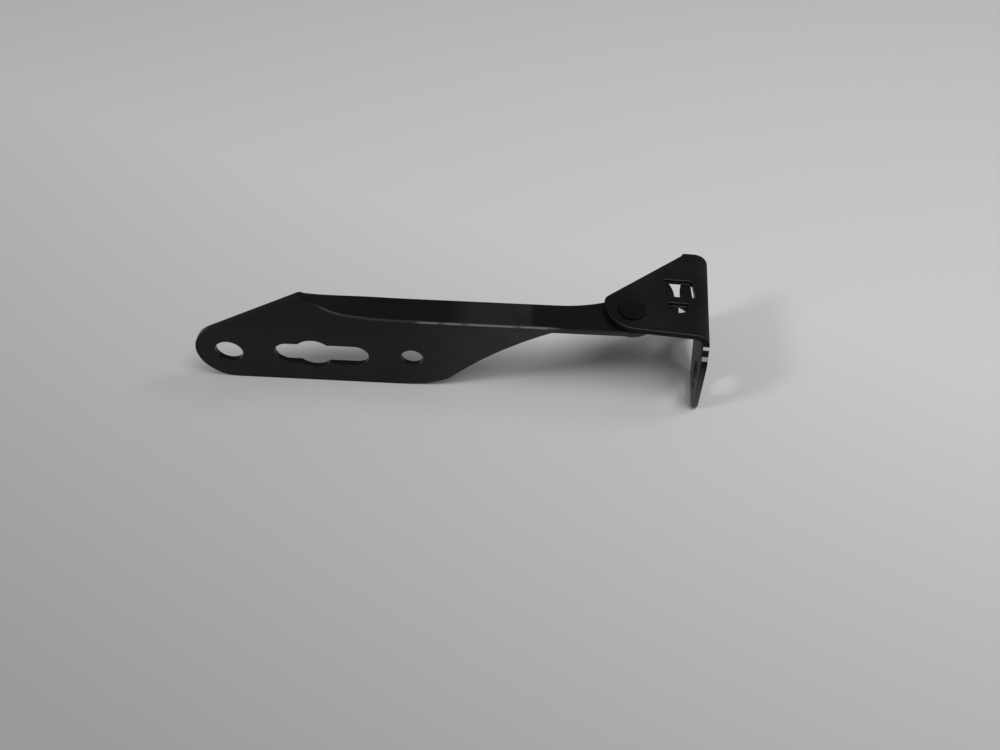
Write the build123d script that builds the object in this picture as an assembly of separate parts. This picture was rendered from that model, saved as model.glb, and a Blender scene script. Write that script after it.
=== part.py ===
from build123d import *
from math import asin, cos, degrees, radians, sin, tan
import os

# Hood hinge: a stamped hood arm that turns on a riveted pivot in a stamped body bracket.
# Millimetres, +Z up. The origin is on the pivot's axis, at the level of the surface that the
# hinge stands on. The arm lies along -X and its hood flange stands on edge, facing -Y.

# Hood arm
arm_sheet = 2.6
arm_top_z = 41.3
hood_face_offset = 10.1
web_depth = 13.8
eye_r = 10.5
eye_blend_r = 64.0
web_bend_r = 1.4
web_inner_bend_r = 0.5
bend_fade_start_x = -38.0
bend_fade_end_x = -28.0

# Hood flange outline
end_r = 16.3
end_centre_x = -175.1
crest_angle = 28.7
crest_round_r = 2.5
toe_r = 18.0
toe_ease_x = -102.5
toe_ease_r = 60.0
scoop_r = 160.0
run_out_x = -33.6
run_out_angle = 26.5

# Rise of the web towards the crest, seen from the front, and the cut behind it, seen from above
rise_start_x = -100.0
rise_first_r = 130.0
rise_first_run = 21.5
rise_second_r = 24.5
rise_end_angle = 64.0
trim_start_x = -104.0
trim_first_r = 100.0
trim_first_run = 17.5
trim_second_r = 27.0
trim_end_angle = 52.0

# Hood bolt holes
end_hole_x = -176.4
end_hole_z = 16.8
end_hole_d = 12.5
adjust_slot_x = -134.7
adjust_slot_z = 17.6
adjust_slot_length = 42.2
adjust_slot_width = 12.2
access_hole_x = -138.3
access_hole_d = 17.6
small_hole_x = -94.5
small_hole_z = 18.1
small_hole_d = 9.9

# Body bracket, drawn square and then turned by rest_turn about the pivot
bracket_sheet = 2.6
rest_turn = -2.6
flange_face_x = 33.3
corner_bend_r = 7.0
lobe_left_x = -11.9
front_edge_y = -11.4
front_edge_angle = 2.6
lobe_back_r = 4.5
lobe_straight = 0.3
slope_x = -5.5
slope_y = 12.3
slope_angle = 41.9
back_edge_y = 37.6
back_corner_x = 21.7
back_step = 1.7

# Mounting flange outline, from the front edge to the back edge
shoulder_z = 29.0
shoulder_round_r = 6.0
foot_front_y = -15.9
foot_back_y = 5.5
foot_front_r = 4.0
foot_back_r = 2.5
notch_height = 12.0
notch_front_y = 17.5
notch_back_y = 25.0
notch_round_r = 2.0
rear_foot_y = 27.5
rear_foot_r = 2.5

# Body bolt holes
front_slot_y = -6.3
front_slot_z = 13.2
front_slot_length = 14.0
front_slot_width = 10.5
rear_hole_y = 27.0
rear_hole_z = 19.5
rear_hole_d = 9.0

# Windows in the bracket plate and the pressed-down web that partly closes them
window_left_x = 13.6
window_right_x = 25.7
window_back_y = 20.4
window_front_y = 10.2
window_bevel = 1.2
window_lean = 1.2
low_window_left_x = 15.3
low_window_right_x = 23.6
low_window_back_y = 6.6
low_window_front_y = 0.6
low_window_bevel = 2.3
web_drop = 1.9
web_overlap = 0.9
web_strip_right_x = 17.8
web_strip_lean = 3.2
web_strip_sag = 1.25
web_bar_x = 21.1
web_bar_width = 3.7
web_bar_sag = 0.8
low_gap_x = 19.8
low_gap_tip_x = 23.4
low_gap_tip_y = 3.6
low_gap_front_y = 2.5

# Pivot rivet
shoulder_d = 8.0
neck_d = 6.6
formed_head_d = 11.4
formed_head_height = 1.3
formed_head_round_r = 0.7
formed_cup_d = 3.0
formed_cup_depth = 0.4
stake_count = 4
stake_circle_d = 7.6
stake_d = 2.0
stake_depth = 0.45
factory_head_d = 15.0
factory_head_height = 2.4
factory_head_round_r = 0.8
running_clearance = 0.05
end_play = 0.15
neck_clearance = 0.02

# Levels and places that follow from the sizes above
arm_under_z = arm_top_z - arm_sheet
web_back_y = web_depth - hood_face_offset
plate_under_z = arm_top_z + end_play
plate_top_z = plate_under_z + bracket_sheet
bend_start_x = flange_face_x - corner_bend_r
sunk_sheet = bracket_sheet - web_drop
far = 400.0


def web_line(depth):
    """Front view of the web's top surface, or of the line that lies depth below it."""
    first_angle = degrees(asin(rise_first_run / rise_first_r))
    level = Line((eye_r, arm_top_z - depth), (rise_start_x, arm_top_z - depth))
    first = JernArc(level @ 1, (-1, 0), rise_first_r + depth, -first_angle)
    second = JernArc(first @ 1, first % 1, rise_second_r + depth, first_angle - rise_end_angle)
    past = Line(second @ 1, (second @ 1) + (second % 1) * end_r)
    return [level, first, second, past]


def below(edges):
    """Face under a line that runs from right to left."""
    start = edges[0] @ 0
    end = edges[-1] @ 1
    closing = Polyline(end, (-far, end.Y), (-far, -far), (start.X, -far), start)
    return make_face([*edges, *closing.edges()])


def hood_flange_outline():
    """Front view of the hood flange: round end, sloping crest, eased toe and scooped run-out."""
    along = Vector(cos(radians(crest_angle)), sin(radians(crest_angle)))
    centre = Vector(end_centre_x, end_r)
    slope_start = centre + Vector(-along.Y, along.X) * end_r
    slope_end = slope_start + along * (run_out_x - end_centre_x)
    right_x = run_out_x + end_r
    points = [(centre.X, 0), (right_x, 0), (right_x, slope_end.Y), slope_end, slope_start, centre]
    scoop_x = run_out_x + scoop_r * sin(radians(run_out_angle))
    scoop_z = arm_under_z - scoop_r * cos(radians(run_out_angle))
    outline = make_face(Polyline(*points, close=True))
    outline += Pos(centre.X, centre.Y) * Circle(end_r)
    outline -= Pos(scoop_x, scoop_z) * Circle(scoop_r)
    ease = Pos(toe_ease_x, 0) * Rectangle(toe_ease_r / 2, toe_ease_r / 2, align=Align.MIN)
    outline -= ease - Pos(toe_ease_x, toe_ease_r) * Circle(toe_ease_r)
    toe = outline.vertices().filter_by(lambda v: v.Y < end_r).sort_by(Axis.X)[-1]
    outline = fillet(toe, toe_r)
    return outline & below(web_line(0))


def crest_waste(outline):
    """Front view of what rounding the crest takes away."""
    crest = outline.vertices().sort_by(Axis.Y)[-1]
    return outline - fillet(crest, crest_round_r)


def hood_holes():
    """Front view of the end hole, the adjusting slot with its access hole, and the small hole."""
    end_hole = Pos(end_hole_x, end_hole_z) * Circle(end_hole_d / 2)
    slot = Pos(adjust_slot_x, adjust_slot_z) * SlotOverall(adjust_slot_length, adjust_slot_width)
    access = Pos(access_hole_x, adjust_slot_z) * Circle(access_hole_d / 2)
    small = Pos(small_hole_x, small_hole_z) * Circle(small_hole_d / 2)
    return end_hole + slot + access + small


def web_plan():
    """Top view of the web: tapered towards the crest, parallel, then round at the eye."""
    first_angle = degrees(asin(trim_first_run / trim_first_r))
    back = Line((0, web_back_y), (trim_start_x, web_back_y))
    first = JernArc(back @ 1, (-1, 0), trim_first_r, first_angle)
    second = JernArc(first @ 1, first % 1, trim_second_r, trim_end_angle - first_angle)
    past = Line(second @ 1, (second @ 1) + (second % 1) * end_r)
    front = Rectangle(far, far, align=(Align.MAX, Align.MIN))
    plan = below([back, first, second, past]) & Pos(0, -hood_face_offset) * front
    plan += Circle(eye_r)
    corner = plan.vertices().sort_by_distance((-eye_r, web_back_y))[0]
    return fillet(corner, eye_blend_r)


def edges_along(solid, line, y):
    """Edges of the solid that lie on a front-view line at the depth y."""
    places = [Plane.XZ.offset(-y) * edge for edge in line]

    def lies_on(point):
        return min(place.distance_to(point) for place in places) < 0.001

    return [e for e in solid.edges() if lies_on(e @ 0) and lies_on(e @ 0.5) and lies_on(e @ 1)]


def square_edge():
    """The web's front edge beyond the bend, with the round of the bend fading into it."""
    corner = (-hood_face_offset, arm_top_z)
    bar = Pos(bend_fade_start_x, *corner) * Box(
        -bend_fade_start_x, web_bend_r, web_bend_r, align=(Align.MIN, Align.MIN, Align.MAX)
    )
    square = Pos(*corner) * Rectangle(web_bend_r, web_bend_r, align=(Align.MIN, Align.MAX))
    waste = square - Pos(corner[0] + web_bend_r, corner[1] - web_bend_r) * Circle(web_bend_r)
    tip = Vertex(bend_fade_end_x, *corner)
    return bar - loft([Plane.YZ.offset(bend_fade_start_x) * waste.face(), tip])


def make_hood_arm():
    inner_y = arm_sheet - hood_face_offset
    outline = hood_flange_outline()
    flange = extrude(Plane.XZ.offset(-inner_y) * outline, arm_sheet)
    band = below(web_line(0)) - below(web_line(arm_sheet))
    crest_x = outline.vertices().sort_by(Axis.Y)[-1].X
    band &= Pos(crest_x, 0) * Rectangle(far, far, align=(Align.MIN, Align.CENTER))
    arm = flange + extrude(Plane.XZ.offset(-eye_r) * band, eye_r + hood_face_offset)
    arm = fillet(edges_along(arm, web_line(0), -hood_face_offset), web_bend_r)
    arm = fillet(edges_along(arm, web_line(arm_sheet), inner_y), web_inner_bend_r)
    arm += square_edge()
    arm -= extrude(Plane.XZ * crest_waste(outline), far, both=True)
    behind = Pos(0, inner_y) * Rectangle(far, far, align=(Align.MAX, Align.MIN))
    beside = Rectangle(far, far, align=(Align.MIN, Align.CENTER))
    arm -= extrude((behind + beside) - web_plan(), far)
    arm += Pos(0, 0, arm_under_z) * Cylinder(eye_r, arm_sheet, align=SEAT)
    arm -= extrude(Plane.XZ * hood_holes(), hood_face_offset + arm_sheet)
    arm -= Cylinder(shoulder_d / 2 + running_clearance, far)
    return arm


def plate_plan():
    """Top view of the bracket plate up to its bend: a rounded lobe, a slope and a back edge."""
    fall = tan(radians(front_edge_angle))
    climb = tan(radians(slope_angle))
    step_y = back_edge_y - back_step
    points = [
        (bend_start_x, front_edge_y),
        (bend_start_x, back_edge_y),
        (back_corner_x, back_edge_y),
        (slope_x + (step_y - slope_y) / climb, step_y),
        (lobe_left_x, slope_y + (lobe_left_x - slope_x) * climb),
        (lobe_left_x, front_edge_y + (bend_start_x - lobe_left_x) * fall),
    ]
    back_run = lobe_back_r * tan(radians(90 - slope_angle) / 2)
    front_run = points[4][1] - points[5][1] - lobe_straight - back_run
    lobe_front_r = front_run / tan(radians(90 - front_edge_angle) / 2)
    plan = make_face(Polyline(*points, close=True))
    for point, radius in ((points[4], lobe_back_r), (points[5], lobe_front_r)):
        plan = fillet(plan.vertices().sort_by_distance(point)[0], radius)
    return plan


def flange_outline():
    """Side view, Y and Z, of the mounting flange with its bend: two feet and a notch between."""
    notch_run = notch_front_y - foot_back_y
    points = [
        (front_edge_y, plate_top_z),
        (front_edge_y, plate_top_z - corner_bend_r),
        (foot_front_y, shoulder_z),
        (foot_front_y, 0),
        (foot_back_y, 0),
        (foot_back_y + notch_run, notch_height),
        (notch_back_y, notch_height),
        (rear_foot_y, notch_height - (rear_foot_y - notch_back_y)),
        (rear_foot_y, 0),
        (back_edge_y, 0),
        (back_edge_y, plate_top_z),
    ]
    outline = make_face(Polyline(*points, close=True))
    rounds = (
        (points[2], shoulder_round_r),
        (points[3], foot_front_r),
        (points[4], foot_back_r),
        (points[5], notch_round_r),
        (points[6], notch_round_r),
        (points[8], rear_foot_r),
        (points[9], rear_foot_r),
    )
    for point, radius in rounds:
        outline = fillet(outline.vertices().sort_by_distance(point)[0], radius)
    slot = SlotOverall(front_slot_length, front_slot_width, rotation=90)
    slot = Pos(front_slot_y, front_slot_z) * slot
    rear = Pos(rear_hole_y, rear_hole_z) * Circle(rear_hole_d / 2)
    return outline - slot - rear


def bend_section():
    """Front view of the bend and the mounting flange below it."""
    centre = (bend_start_x, plate_top_z - corner_bend_r)
    ring = Circle(corner_bend_r) - Circle(corner_bend_r - bracket_sheet)
    quarter = Pos(*centre) * (ring & Rectangle(far, far, align=(Align.MIN, Align.MIN)))
    flat = Pos(flange_face_x, centre[1]) * Rectangle(bracket_sheet, centre[1], align=(Align.MAX, Align.MAX))
    return quarter + flat


def upper_window():
    """Top view of the window behind the cross strip."""
    return make_face(Polyline(
        (window_left_x, window_back_y),
        (window_right_x - window_bevel, window_back_y),
        (window_right_x, window_back_y - window_bevel),
        (window_right_x + window_lean, window_front_y),
        (window_left_x, window_front_y),
        close=True,
    ))


def lower_window():
    """Top view of the window in front of the cross strip."""
    return make_face(Polyline(
        (low_window_left_x, low_window_back_y),
        (low_window_right_x, low_window_back_y),
        (low_window_right_x, low_window_front_y + low_window_bevel),
        (low_window_right_x - low_window_bevel, low_window_front_y),
        (low_window_left_x + low_window_bevel, low_window_front_y),
        (low_window_left_x, low_window_front_y + low_window_bevel),
        close=True,
    ))


def pressed_web():
    """Top view of the sunk web: a curved strip, a curved bar, and a floor with a small triangular gap."""
    back_y = window_back_y + web_overlap
    front_y = window_front_y - web_overlap
    strip_left_x = window_left_x - web_overlap
    strip_back = (web_strip_right_x - web_strip_lean, back_y)
    side = SagittaArc(strip_back, (web_strip_right_x, front_y), web_strip_sag)
    rest = Polyline(side @ 1, (strip_left_x, front_y), (strip_left_x, back_y), side @ 0)
    strip = make_face([side, *rest.edges()])
    bar_right_x = web_bar_x + web_bar_width
    side = SagittaArc((web_bar_x, front_y), (web_bar_x, back_y), web_bar_sag)
    rest = Polyline(side @ 1, (bar_right_x, back_y), (bar_right_x + window_lean, front_y), side @ 0)
    bar = make_face([side, *rest.edges()])
    low_back_y = low_window_back_y + web_overlap
    low_front_y = low_window_front_y - web_overlap
    low = Pos(low_window_left_x - web_overlap, low_front_y) * Rectangle(
        low_window_right_x - low_window_left_x + 2 * web_overlap,
        low_back_y - low_front_y,
        align=Align.MIN,
    )
    low -= make_face(Polyline(
        (low_gap_x, low_window_back_y),
        (low_gap_tip_x, low_gap_tip_y),
        (low_gap_x, low_gap_front_y),
        close=True,
    ))
    return strip + bar + low


def make_body_bracket():
    plate = extrude(Pos(0, 0, plate_under_z) * plate_plan(), bracket_sheet)
    plate -= extrude(Pos(0, 0, plate_under_z) * (upper_window() + lower_window()), bracket_sheet)
    fold = extrude(Plane.XZ * bend_section(), far, both=True)
    fold &= extrude(Plane.YZ * flange_outline(), far)
    fold -= extrude(Pos(0, 0, plate_under_z) * upper_window(), bracket_sheet)
    bracket = plate + fold + extrude(Pos(0, 0, plate_under_z) * pressed_web(), sunk_sheet)
    bracket -= Cylinder(neck_d / 2 + neck_clearance, far)
    return Rot(0, 0, rest_turn) * bracket


def make_pivot_rivet():
    head_z = arm_under_z - end_play
    factory = Pos(0, 0, head_z) * Cylinder(factory_head_d / 2, factory_head_height, align=SEAT_TOP)
    factory = fillet(factory.edges().sort_by(Axis.Z)[0], factory_head_round_r)
    shoulder = Pos(0, 0, head_z) * Cylinder(shoulder_d / 2, plate_under_z - head_z, align=SEAT)
    neck = Pos(0, 0, plate_under_z) * Cylinder(neck_d / 2, bracket_sheet, align=SEAT)
    formed = Cylinder(formed_head_d / 2, formed_head_height, align=SEAT)
    formed = fillet(formed.edges().sort_by(Axis.Z)[-1], formed_head_round_r)
    formed -= Pos(0, 0, formed_head_height) * Cylinder(formed_cup_d / 2, 2 * formed_cup_depth)
    for place in PolarLocations(stake_circle_d / 2, stake_count):
        formed -= Pos(0, 0, formed_head_height) * place * Cylinder(stake_d / 2, 2 * stake_depth)
    return factory + shoulder + neck + Pos(0, 0, plate_top_z) * formed


SEAT = (Align.CENTER, Align.CENTER, Align.MIN)
SEAT_TOP = (Align.CENTER, Align.CENTER, Align.MAX)
parts = {
    "hood_arm": make_hood_arm(),
    "body_bracket": make_body_bracket(),
    "pivot_rivet": make_pivot_rivet(),
}
os.makedirs("parts", exist_ok=True)
for name, shape in parts.items():
    export_step(shape, f"parts/{name}.step")
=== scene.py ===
import bpy
import math
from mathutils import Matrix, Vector

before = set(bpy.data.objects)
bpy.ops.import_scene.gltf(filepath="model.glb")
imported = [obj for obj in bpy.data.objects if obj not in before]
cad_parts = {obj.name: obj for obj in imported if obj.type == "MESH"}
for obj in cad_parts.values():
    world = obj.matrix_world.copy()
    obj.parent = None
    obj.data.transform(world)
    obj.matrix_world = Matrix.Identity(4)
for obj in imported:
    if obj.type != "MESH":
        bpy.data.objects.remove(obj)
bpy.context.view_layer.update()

# Camera: the photograph's viewing angle
SENSOR_MM = 36.0
LENS_MM = 36.0
CAMERA_PLACE = (-0.0376, -0.2963, 0.3512)
CAMERA_TILT_DEG = 40.0
CAMERA_TURN_DEG = 3.59
CLIP_NEAR = 0.01
CLIP_FAR = 20.0

# Floor and light
FLOOR_HALF = 4.0
FLOOR_PALE = (0.560, 0.560, 0.567)
# Painted shade: the floor's colour goes from pale to this darker grey towards the front
FLOOR_PAINTED_SHADE = (0.318, 0.318, 0.324)
FLOOR_PALE_WAY = (0.32, 0.947, 0.0)
FLOOR_PAINTED_SHADE_AT = -0.23
FLOOR_PALE_AT = 0.07
FLOOR_ROUGH = 0.75
FLOOR_SPECULAR = 0.2
WORLD_COLOUR = (0.98, 0.99, 1.0)
WORLD_LIGHT = 0.19
BACKDROP_LIGHT = 0.75
LIGHT_AIM = (-0.06, 0.0, 0.0)
KEY_PLACE = (0.24, -0.20, 1.00)
KEY_SIZE = 0.52
KEY_WATTS = 6.8
RIGHT_PLACE = (0.89, 0.30, 1.00)
RIGHT_SIZE = 0.35
RIGHT_WATTS = 3.1
LEFT_PLACE = (-1.04, -0.45, 1.00)
LEFT_SIZE = 0.25
LEFT_WATTS = 5.6

# Black paint on pressed steel
ARM_BLACK = (0.0022, 0.0022, 0.0024)
BRACKET_BLACK = (0.0058, 0.0057, 0.0055)
RIVET_BLACK = (0.0028, 0.0028, 0.0028)
DUST_GREY = (0.030, 0.029, 0.028)
WORN_GREY = (0.030, 0.030, 0.029)
# Painted highlights: a lighter colour on rounded edges high on each part that face forward and up
ARM_EDGE_HIGHLIGHT = (0.013, 0.013, 0.013)
BRACKET_EDGE_HIGHLIGHT = (0.085, 0.085, 0.083)
RIVET_EDGE_HIGHLIGHT = (0.004, 0.004, 0.004)
EDGE_HIGHLIGHT_WAY = (0.0, -0.707, 0.707)
EDGE_HIGHLIGHT_LOW_Z = 0.038
EDGE_HIGHLIGHT_HIGH_Z = 0.040
EDGE_DULLING = 0.25
EDGE_ROUND = 0.0005
EDGE_SAMPLES = 6
EDGE_BEND = (0.995, 0.90)
EDGE_FACING = (0.75, 0.95)
ARM_SPECULAR = 0.185
ARM_ROUGH = (0.19, 0.31)
BRACKET_SPECULAR = 0.06
BRACKET_ROUGH = (0.22, 0.34)
RIVET_SPECULAR = 0.04
RIVET_ROUGH = (0.38, 0.52)
MOTTLE_GAIN = 2.0

# Each part's own place in the patterns
ARM_SEED = 1.0
BRACKET_SEED = 2.0
RIVET_SEED = 3.0

# Patterns in the paint: features in a metre, detail and shift
CLOUD = (45.0, 4.0, 0.0)
STREAK = (14.0, 2.0, 3.1)
PEEL = (900.0, 2.0, 5.2)
GRAIN = (5200.0, 3.0, 7.3)
SPECK = (1500.0, 2.0, 9.4)
RUB = (260.0, 4.0, 1.7)
PATCH = (120.0, 4.0, 11.0)
BEND_HIGHLIGHT_BREAKS = (110.0, 3.0, 12.0)
SHIFT_WAY = (1.0, 0.7, 1.3)

# Bump layers: depth in metres and strength
STREAK_BUMP = (0.0012, 0.25)
PEEL_BUMP = (0.00006, 0.35)
GRAIN_BUMP = (0.00001, 0.30)

# The noise where each pattern starts and where it is full, and the least of what is only patchy
MOTTLE_RANGE = (0.35, 0.68)
GLOSS_RANGE = (0.35, 0.68)
WEAR_RANGE = (0.50, 0.68)
DUST_RANGE = (0.69, 0.75)
DUST_CLOUD_RANGE = (0.45, 0.62)
PATCH_RANGE = (0.30, 0.60)
PATCH_LEAST = 0.6
BEND_HIGHLIGHT_BREAKS_RANGE = (0.38, 0.48)
BEND_HIGHLIGHT_BREAKS_LEAST = 0.3

# Sockets of the colour mix node, which share their names with its other kinds
MIX_FIRST = 6
MIX_SECOND = 7
MIX_RESULT = 2

# Lighter stretches of the arm, and a painted highlight along the arm's bend
# A lighter stretch of the web, and the flange lighter towards the pivot end
WEB_LIGHTER_GREY = (0.0130, 0.0130, 0.0133)
WEB_LIGHTER_X = (-0.073, -0.0425)
WEB_LIGHTER_FADES = (0.008, 0.002)
FLANGE_LIGHTER_GREY = (0.030, 0.030, 0.0305)
FLANGE_LIGHTER_X = (-0.100, -0.045)
# Painted highlight: the bright stripe along the bend between the web and the flange
BEND_HIGHLIGHT_GREY = (0.13, 0.13, 0.127)
BEND_X = (-0.0905, -0.031)
BEND_Y = -0.0101
BEND_Z = 0.0413
BEND_REACH = 0.0008
BEND_SOFT = 0.00024
BEND_FADE = 0.003

# Duller paint round the bracket's bend
OUT_WAY = (0.9990, -0.0454, 0.0)
OUT_X = (0.027, 0.031)
OUT_Z = (0.030, 0.036)
OUT_DULLING = 0.40

# Painted reflection of the floor low on the bracket's leg and on its front edge, and two painted
# glints on that front edge
LEG_REFLECTION_GREY = (0.034, 0.034, 0.034)
LEG_Z = (0.030, 0.005)
LEG_EDGE_REFLECTION_GREY = (0.085, 0.085, 0.085)
LEG_EDGE_Y = (-0.0169, -0.0172)
# Painted highlights: two bright glints across the leg's front edge
GLINT_GREY = (0.50, 0.50, 0.49)
GLINT_WAY = (0.0454, 0.9990, -0.5590)
GLINT_EDGE = -0.0321
GLINT_DEPTH = 0.0002
GLINT_SPANS = ((0.0359, 0.0373, 1.0), (0.0316, 0.0333, 0.6))
GLINT_FADE = 0.0003


def make_camera():
    """The camera looks down at the hinge from the front, as the photograph does."""
    data = bpy.data.cameras.new("photo_camera")
    data.sensor_width = SENSOR_MM
    data.lens = LENS_MM
    data.clip_start = CLIP_NEAR
    data.clip_end = CLIP_FAR
    camera = bpy.data.objects.new("photo_camera", data)
    camera.location = CAMERA_PLACE
    camera.rotation_euler = (math.radians(CAMERA_TILT_DEG), 0.0, math.radians(CAMERA_TURN_DEG))
    bpy.context.scene.collection.objects.link(camera)
    bpy.context.scene.camera = camera


def make_lamp(name, place, size, watts):
    """A square area lamp that faces the middle of the hinge."""
    data = bpy.data.lights.new(name, "AREA")
    data.shape = "SQUARE"
    data.size = size
    data.energy = watts
    lamp = bpy.data.objects.new(name, data)
    lamp.location = place
    lamp.rotation_euler = (Vector(LIGHT_AIM) - Vector(place)).to_track_quat("-Z", "Y").to_euler()
    bpy.context.scene.collection.objects.link(lamp)


def make_world():
    """Dim studio light all round, with a pale backdrop where the camera looks past the floor."""
    world = bpy.data.worlds.new("studio")
    world.use_nodes = True
    nodes = world.node_tree.nodes
    links = world.node_tree.links
    nodes.clear()
    out = nodes.new("ShaderNodeOutputWorld")
    mix = nodes.new("ShaderNodeMixShader")
    light = nodes.new("ShaderNodeBackground")
    light.inputs["Color"].default_value = (*WORLD_COLOUR, 1.0)
    light.inputs["Strength"].default_value = WORLD_LIGHT
    backdrop = nodes.new("ShaderNodeBackground")
    backdrop.inputs["Color"].default_value = (*WORLD_COLOUR, 1.0)
    backdrop.inputs["Strength"].default_value = BACKDROP_LIGHT
    path = nodes.new("ShaderNodeLightPath")
    links.new(path.outputs["Is Camera Ray"], mix.inputs["Fac"])
    links.new(light.outputs["Background"], mix.inputs[1])
    links.new(backdrop.outputs["Background"], mix.inputs[2])
    links.new(mix.outputs["Shader"], out.inputs["Surface"])
    bpy.context.scene.world = world


class Paint:
    """A small helper that adds nodes to one material and joins them."""

    def __init__(self, name):
        self.material = bpy.data.materials.new(name)
        self.material.use_nodes = True
        self.tree = self.material.node_tree
        self.shader = self.tree.nodes["Principled BSDF"]
        self.coords = self.tree.nodes.new("ShaderNodeTexCoord").outputs["Object"]

    def link(self, source, target):
        self.tree.links.new(source, target)

    def noise(self, pattern, seed=0.0):
        """Noise from 0 to 1 in one of the patterns, moved by the seed."""
        per_metre, detail, shift_by = pattern
        shift = self.tree.nodes.new("ShaderNodeMapping")
        shift.inputs["Location"].default_value = tuple((seed + shift_by) * part for part in SHIFT_WAY)
        self.link(self.coords, shift.inputs["Vector"])
        node = self.tree.nodes.new("ShaderNodeTexNoise")
        node.inputs["Scale"].default_value = per_metre
        node.inputs["Detail"].default_value = detail
        self.link(shift.outputs["Vector"], node.inputs["Vector"])
        return node.outputs["Fac"]

    def ranged(self, value, low, high, to_low=0.0, to_high=1.0):
        """Maps low..high to to_low..to_high, with flat ends."""
        node = self.tree.nodes.new("ShaderNodeMapRange")
        node.inputs["From Min"].default_value = low
        node.inputs["From Max"].default_value = high
        node.inputs["To Min"].default_value = to_low
        node.inputs["To Max"].default_value = to_high
        self.link(value, node.inputs["Value"])
        return node.outputs["Result"]

    def dot(self, vector, way):
        """How far the vector goes along a way, which may be a tuple or a socket."""
        node = self.tree.nodes.new("ShaderNodeVectorMath")
        node.operation = "DOT_PRODUCT"
        self.link(vector, node.inputs[0])
        if isinstance(way, tuple):
            node.inputs[1].default_value = way
        else:
            self.link(way, node.inputs[1])
        return node.outputs["Value"]

    def joined(self, operation, first, second):
        """Two numbers put together. A number may be a float or a socket."""
        node = self.tree.nodes.new("ShaderNodeMath")
        node.operation = operation
        for value, socket in ((first, node.inputs[0]), (second, node.inputs[1])):
            if isinstance(value, float):
                socket.default_value = value
            else:
                self.link(value, socket)
        return node.outputs["Value"]

    def times(self, first, second):
        """The product of two numbers."""
        return self.joined("MULTIPLY", first, second)

    def plus(self, first, second):
        """The sum of two numbers."""
        return self.joined("ADD", first, second)

    def mixed(self, amount, first, second):
        """Colour mix by amount. A colour may be a tuple or a socket."""
        node = self.tree.nodes.new("ShaderNodeMix")
        node.data_type = "RGBA"
        self.link(amount, node.inputs["Factor"])
        for value, socket in ((first, node.inputs[MIX_FIRST]), (second, node.inputs[MIX_SECOND])):
            if isinstance(value, tuple):
                socket.default_value = (*value, 1.0)
            else:
                self.link(value, socket)
        return node.outputs[MIX_RESULT]

    def axis(self, name):
        """Place along one axis, in metres."""
        node = self.tree.nodes.new("ShaderNodeSeparateXYZ")
        self.link(self.coords, node.inputs["Vector"])
        return node.outputs[name]

    def band(self, value, low, high, low_fade, high_fade):
        """1 between low and high, 0 outside, with fading ends."""
        rising = self.ranged(value, low - low_fade / 2, low + low_fade / 2)
        falling = self.ranged(value, high - high_fade / 2, high + high_fade / 2, 1.0, 0.0)
        return self.times(rising, falling)

    def softened(self, radius):
        """The surface's direction with its edges rounded."""
        bevel = self.tree.nodes.new("ShaderNodeBevel")
        bevel.samples = EDGE_SAMPLES
        bevel.inputs["Radius"].default_value = radius
        return bevel.outputs["Normal"]

    def edges(self, soft):
        """1 on edges and small rounds, 0 on flat faces."""
        geometry = self.tree.nodes.new("ShaderNodeNewGeometry")
        return self.ranged(self.dot(soft, geometry.outputs["Normal"]), *EDGE_BEND)

    def turned_to(self, soft, way):
        """1 where the rounded surface faces a fixed way of the part."""
        turn = self.tree.nodes.new("ShaderNodeVectorTransform")
        turn.vector_type = "NORMAL"
        turn.convert_from = "WORLD"
        turn.convert_to = "OBJECT"
        self.link(soft, turn.inputs["Vector"])
        return self.ranged(self.dot(turn.outputs["Vector"], way), *EDGE_FACING)

    def bumps(self, normal, layers):
        """Stacks bump layers, given as height, distance in metres and strength, over a direction."""
        for height, distance, strength in layers:
            bump = self.tree.nodes.new("ShaderNodeBump")
            bump.inputs["Distance"].default_value = distance
            bump.inputs["Strength"].default_value = strength
            self.link(height, bump.inputs["Height"])
            self.link(normal, bump.inputs["Normal"])
            normal = bump.outputs["Normal"]
        self.link(normal, self.shader.inputs["Normal"])


def make_floor():
    """A plain pale floor that the hinge stands on, with painted shade making it darker towards the
    front.
    """
    mesh = bpy.data.meshes.new("floor")
    corners = [(-1, -1), (1, -1), (1, 1), (-1, 1)]
    mesh.from_pydata([(x * FLOOR_HALF, y * FLOOR_HALF, 0.0) for x, y in corners], [], [(0, 1, 2, 3)])
    floor = bpy.data.objects.new("floor", mesh)
    bpy.context.scene.collection.objects.link(floor)
    paint = Paint("floor_paint")
    # Painted shade: the floor darkens along this way, towards the front
    along = paint.dot(paint.coords, FLOOR_PALE_WAY)
    colour = paint.mixed(paint.ranged(along, FLOOR_PAINTED_SHADE_AT, FLOOR_PALE_AT), FLOOR_PAINTED_SHADE, FLOOR_PALE)
    paint.link(colour, paint.shader.inputs["Base Color"])
    paint.shader.inputs["Roughness"].default_value = FLOOR_ROUGH
    paint.shader.inputs["Specular IOR Level"].default_value = FLOOR_SPECULAR
    mesh.materials.append(paint.material)


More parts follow.
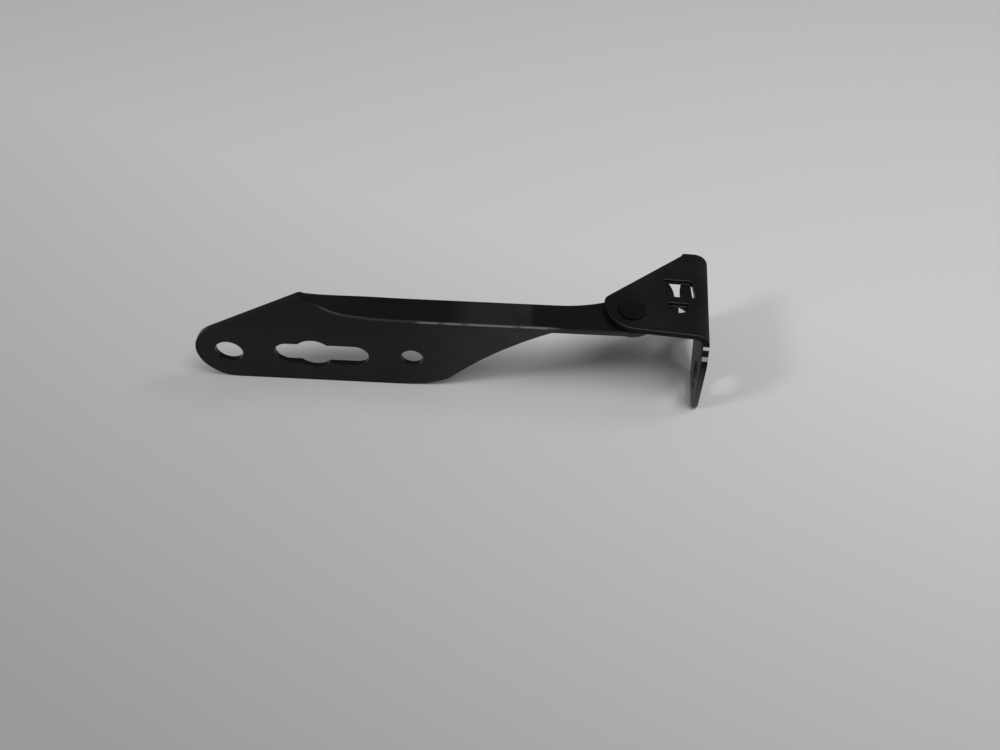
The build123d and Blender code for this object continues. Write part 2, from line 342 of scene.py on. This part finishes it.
def arm_marks(paint, colour):
    """Lighter stretches on the web and flange, and a painted highlight along the arm's bend, broken
    up by noise.
    """
    x = paint.axis("X")
    y = paint.axis("Y")
    z = paint.axis("Z")
    patchy = paint.ranged(paint.noise(PATCH), *PATCH_RANGE, PATCH_LEAST)
    on_web = paint.times(patchy, paint.ranged(z, BEND_Z - BEND_REACH, BEND_Z))
    on_flange = paint.times(patchy, paint.ranged(z, BEND_Z - BEND_REACH, BEND_Z, 1.0, 0.0))
    # A lighter stretch of the web, and the flange lighter towards the pivot end, both patchy
    web_lighter = paint.times(on_web, paint.band(x, *WEB_LIGHTER_X, *WEB_LIGHTER_FADES))
    flange_lighter = paint.times(on_flange, paint.ranged(x, *FLANGE_LIGHTER_X))
    colour = paint.mixed(web_lighter, colour, WEB_LIGHTER_GREY)
    colour = paint.mixed(flange_lighter, colour, FLANGE_LIGHTER_GREY)
    # Painted highlight: a bright stripe along the bend, broken up by noise
    line = paint.band(x, *BEND_X, BEND_FADE, BEND_FADE)
    back_y = BEND_Y + BEND_REACH
    under_z = BEND_Z - BEND_REACH
    line = paint.times(line, paint.ranged(y, back_y - BEND_SOFT, back_y, 1.0, 0.0))
    line = paint.times(line, paint.ranged(z, under_z, under_z + BEND_SOFT))
    line = paint.times(line, paint.ranged(paint.noise(BEND_HIGHLIGHT_BREAKS), *BEND_HIGHLIGHT_BREAKS_RANGE, BEND_HIGHLIGHT_BREAKS_LEAST))
    return paint.mixed(line, colour, BEND_HIGHLIGHT_GREY), 0.0


def bracket_marks(paint, colour):
    """A lower leg and front edge made lighter by painted reflection of the floor, two painted glints
    on the front edge, and duller paint round the bend.
    """
    z = paint.axis("Z")
    # Painted reflection: the leg grows lighter towards the floor, and its front edge lighter still
    leg_reflection = paint.ranged(z, *LEG_Z)
    leg_edge_reflection = paint.times(leg_reflection, paint.ranged(paint.axis("Y"), *LEG_EDGE_Y))
    colour = paint.mixed(leg_reflection, colour, LEG_REFLECTION_GREY)
    colour = paint.mixed(leg_edge_reflection, colour, LEG_EDGE_REFLECTION_GREY)
    # Painted highlight: two bright glints in a thin skin at the front edge, at two heights
    depth = paint.dot(paint.coords, GLINT_WAY)
    skin = paint.ranged(depth, GLINT_EDGE + GLINT_DEPTH / 2, GLINT_EDGE + GLINT_DEPTH, 1.0, 0.0)
    for low, high, strength in GLINT_SPANS:
        glint = paint.times(skin, paint.band(z, low, high, GLINT_FADE, GLINT_FADE))
        colour = paint.mixed(paint.times(glint, strength), colour, GLINT_GREY)
    out = paint.ranged(paint.dot(paint.coords, OUT_WAY), *OUT_X)
    out = paint.times(out, paint.ranged(z, *OUT_Z))
    return colour, paint.times(out, OUT_DULLING)


def no_marks(paint, colour):
    """The colour as it is."""
    return colour, 0.0


def black_paint(name, black, edge, specular, rough, seed, marks):
    """Semi-gloss black coating: faint mottling, dust, orange peel, press marks, worn edges and a
    painted highlight on high edges that face forward and up.

    marks adds the part's own marks, and gives back the colour and how much duller they make it.
    """
    paint = Paint(name)
    cloud = paint.noise(CLOUD, seed)
    streak = paint.noise(STREAK, seed)
    soft = paint.softened(EDGE_ROUND)
    wear = paint.times(paint.edges(soft), paint.ranged(paint.noise(RUB, seed), *WEAR_RANGE))
    dust = paint.ranged(paint.noise(SPECK, seed), *DUST_RANGE)
    dust = paint.times(dust, paint.ranged(cloud, *DUST_CLOUD_RANGE))
    lighter = tuple(MOTTLE_GAIN * level for level in black)
    colour = paint.mixed(paint.ranged(cloud, *MOTTLE_RANGE), black, lighter)
    colour = paint.mixed(dust, colour, DUST_GREY)
    # Painted highlight: edges above a set height that face forward and up get the lighter edge colour
    high = paint.ranged(paint.axis("Z"), EDGE_HIGHLIGHT_LOW_Z, EDGE_HIGHLIGHT_HIGH_Z)
    front = paint.times(high, paint.turned_to(soft, EDGE_HIGHLIGHT_WAY))
    colour = paint.mixed(front, colour, edge)
    colour = paint.mixed(wear, colour, WORN_GREY)
    colour, dulling = marks(paint, colour)
    paint.link(colour, paint.shader.inputs["Base Color"])
    gloss = paint.plus(paint.ranged(streak, *GLOSS_RANGE, *rough), paint.times(front, EDGE_DULLING))
    paint.link(paint.plus(gloss, dulling), paint.shader.inputs["Roughness"])
    paint.shader.inputs["Specular IOR Level"].default_value = specular
    paint.bumps(soft, [
        (streak, *STREAK_BUMP),
        (paint.noise(PEEL, seed), *PEEL_BUMP),
        (paint.noise(GRAIN, seed), *GRAIN_BUMP),
    ])
    return paint.material


def dress(node, material):
    """Puts the material in every slot of the node's mesh."""
    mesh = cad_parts[node].data
    if not mesh.materials:
        mesh.materials.append(material)
    for index in range(len(mesh.materials)):
        mesh.materials[index] = material


make_camera()
make_world()
make_floor()
make_lamp("key", KEY_PLACE, KEY_SIZE, KEY_WATTS)
make_lamp("right", RIGHT_PLACE, RIGHT_SIZE, RIGHT_WATTS)
make_lamp("left", LEFT_PLACE, LEFT_SIZE, LEFT_WATTS)
arm_looks = (ARM_BLACK, ARM_EDGE_HIGHLIGHT, ARM_SPECULAR, ARM_ROUGH)
bracket_looks = (BRACKET_BLACK, BRACKET_EDGE_HIGHLIGHT, BRACKET_SPECULAR, BRACKET_ROUGH)
rivet_looks = (RIVET_BLACK, RIVET_EDGE_HIGHLIGHT, RIVET_SPECULAR, RIVET_ROUGH)
dress("hood_arm", black_paint("arm_black", *arm_looks, ARM_SEED, arm_marks))
dress("body_bracket", black_paint("bracket_black", *bracket_looks, BRACKET_SEED, bracket_marks))
dress("pivot_rivet", black_paint("rivet_black", *rivet_looks, RIVET_SEED, no_marks))
bpy.context.scene.view_settings.view_transform = "Standard"
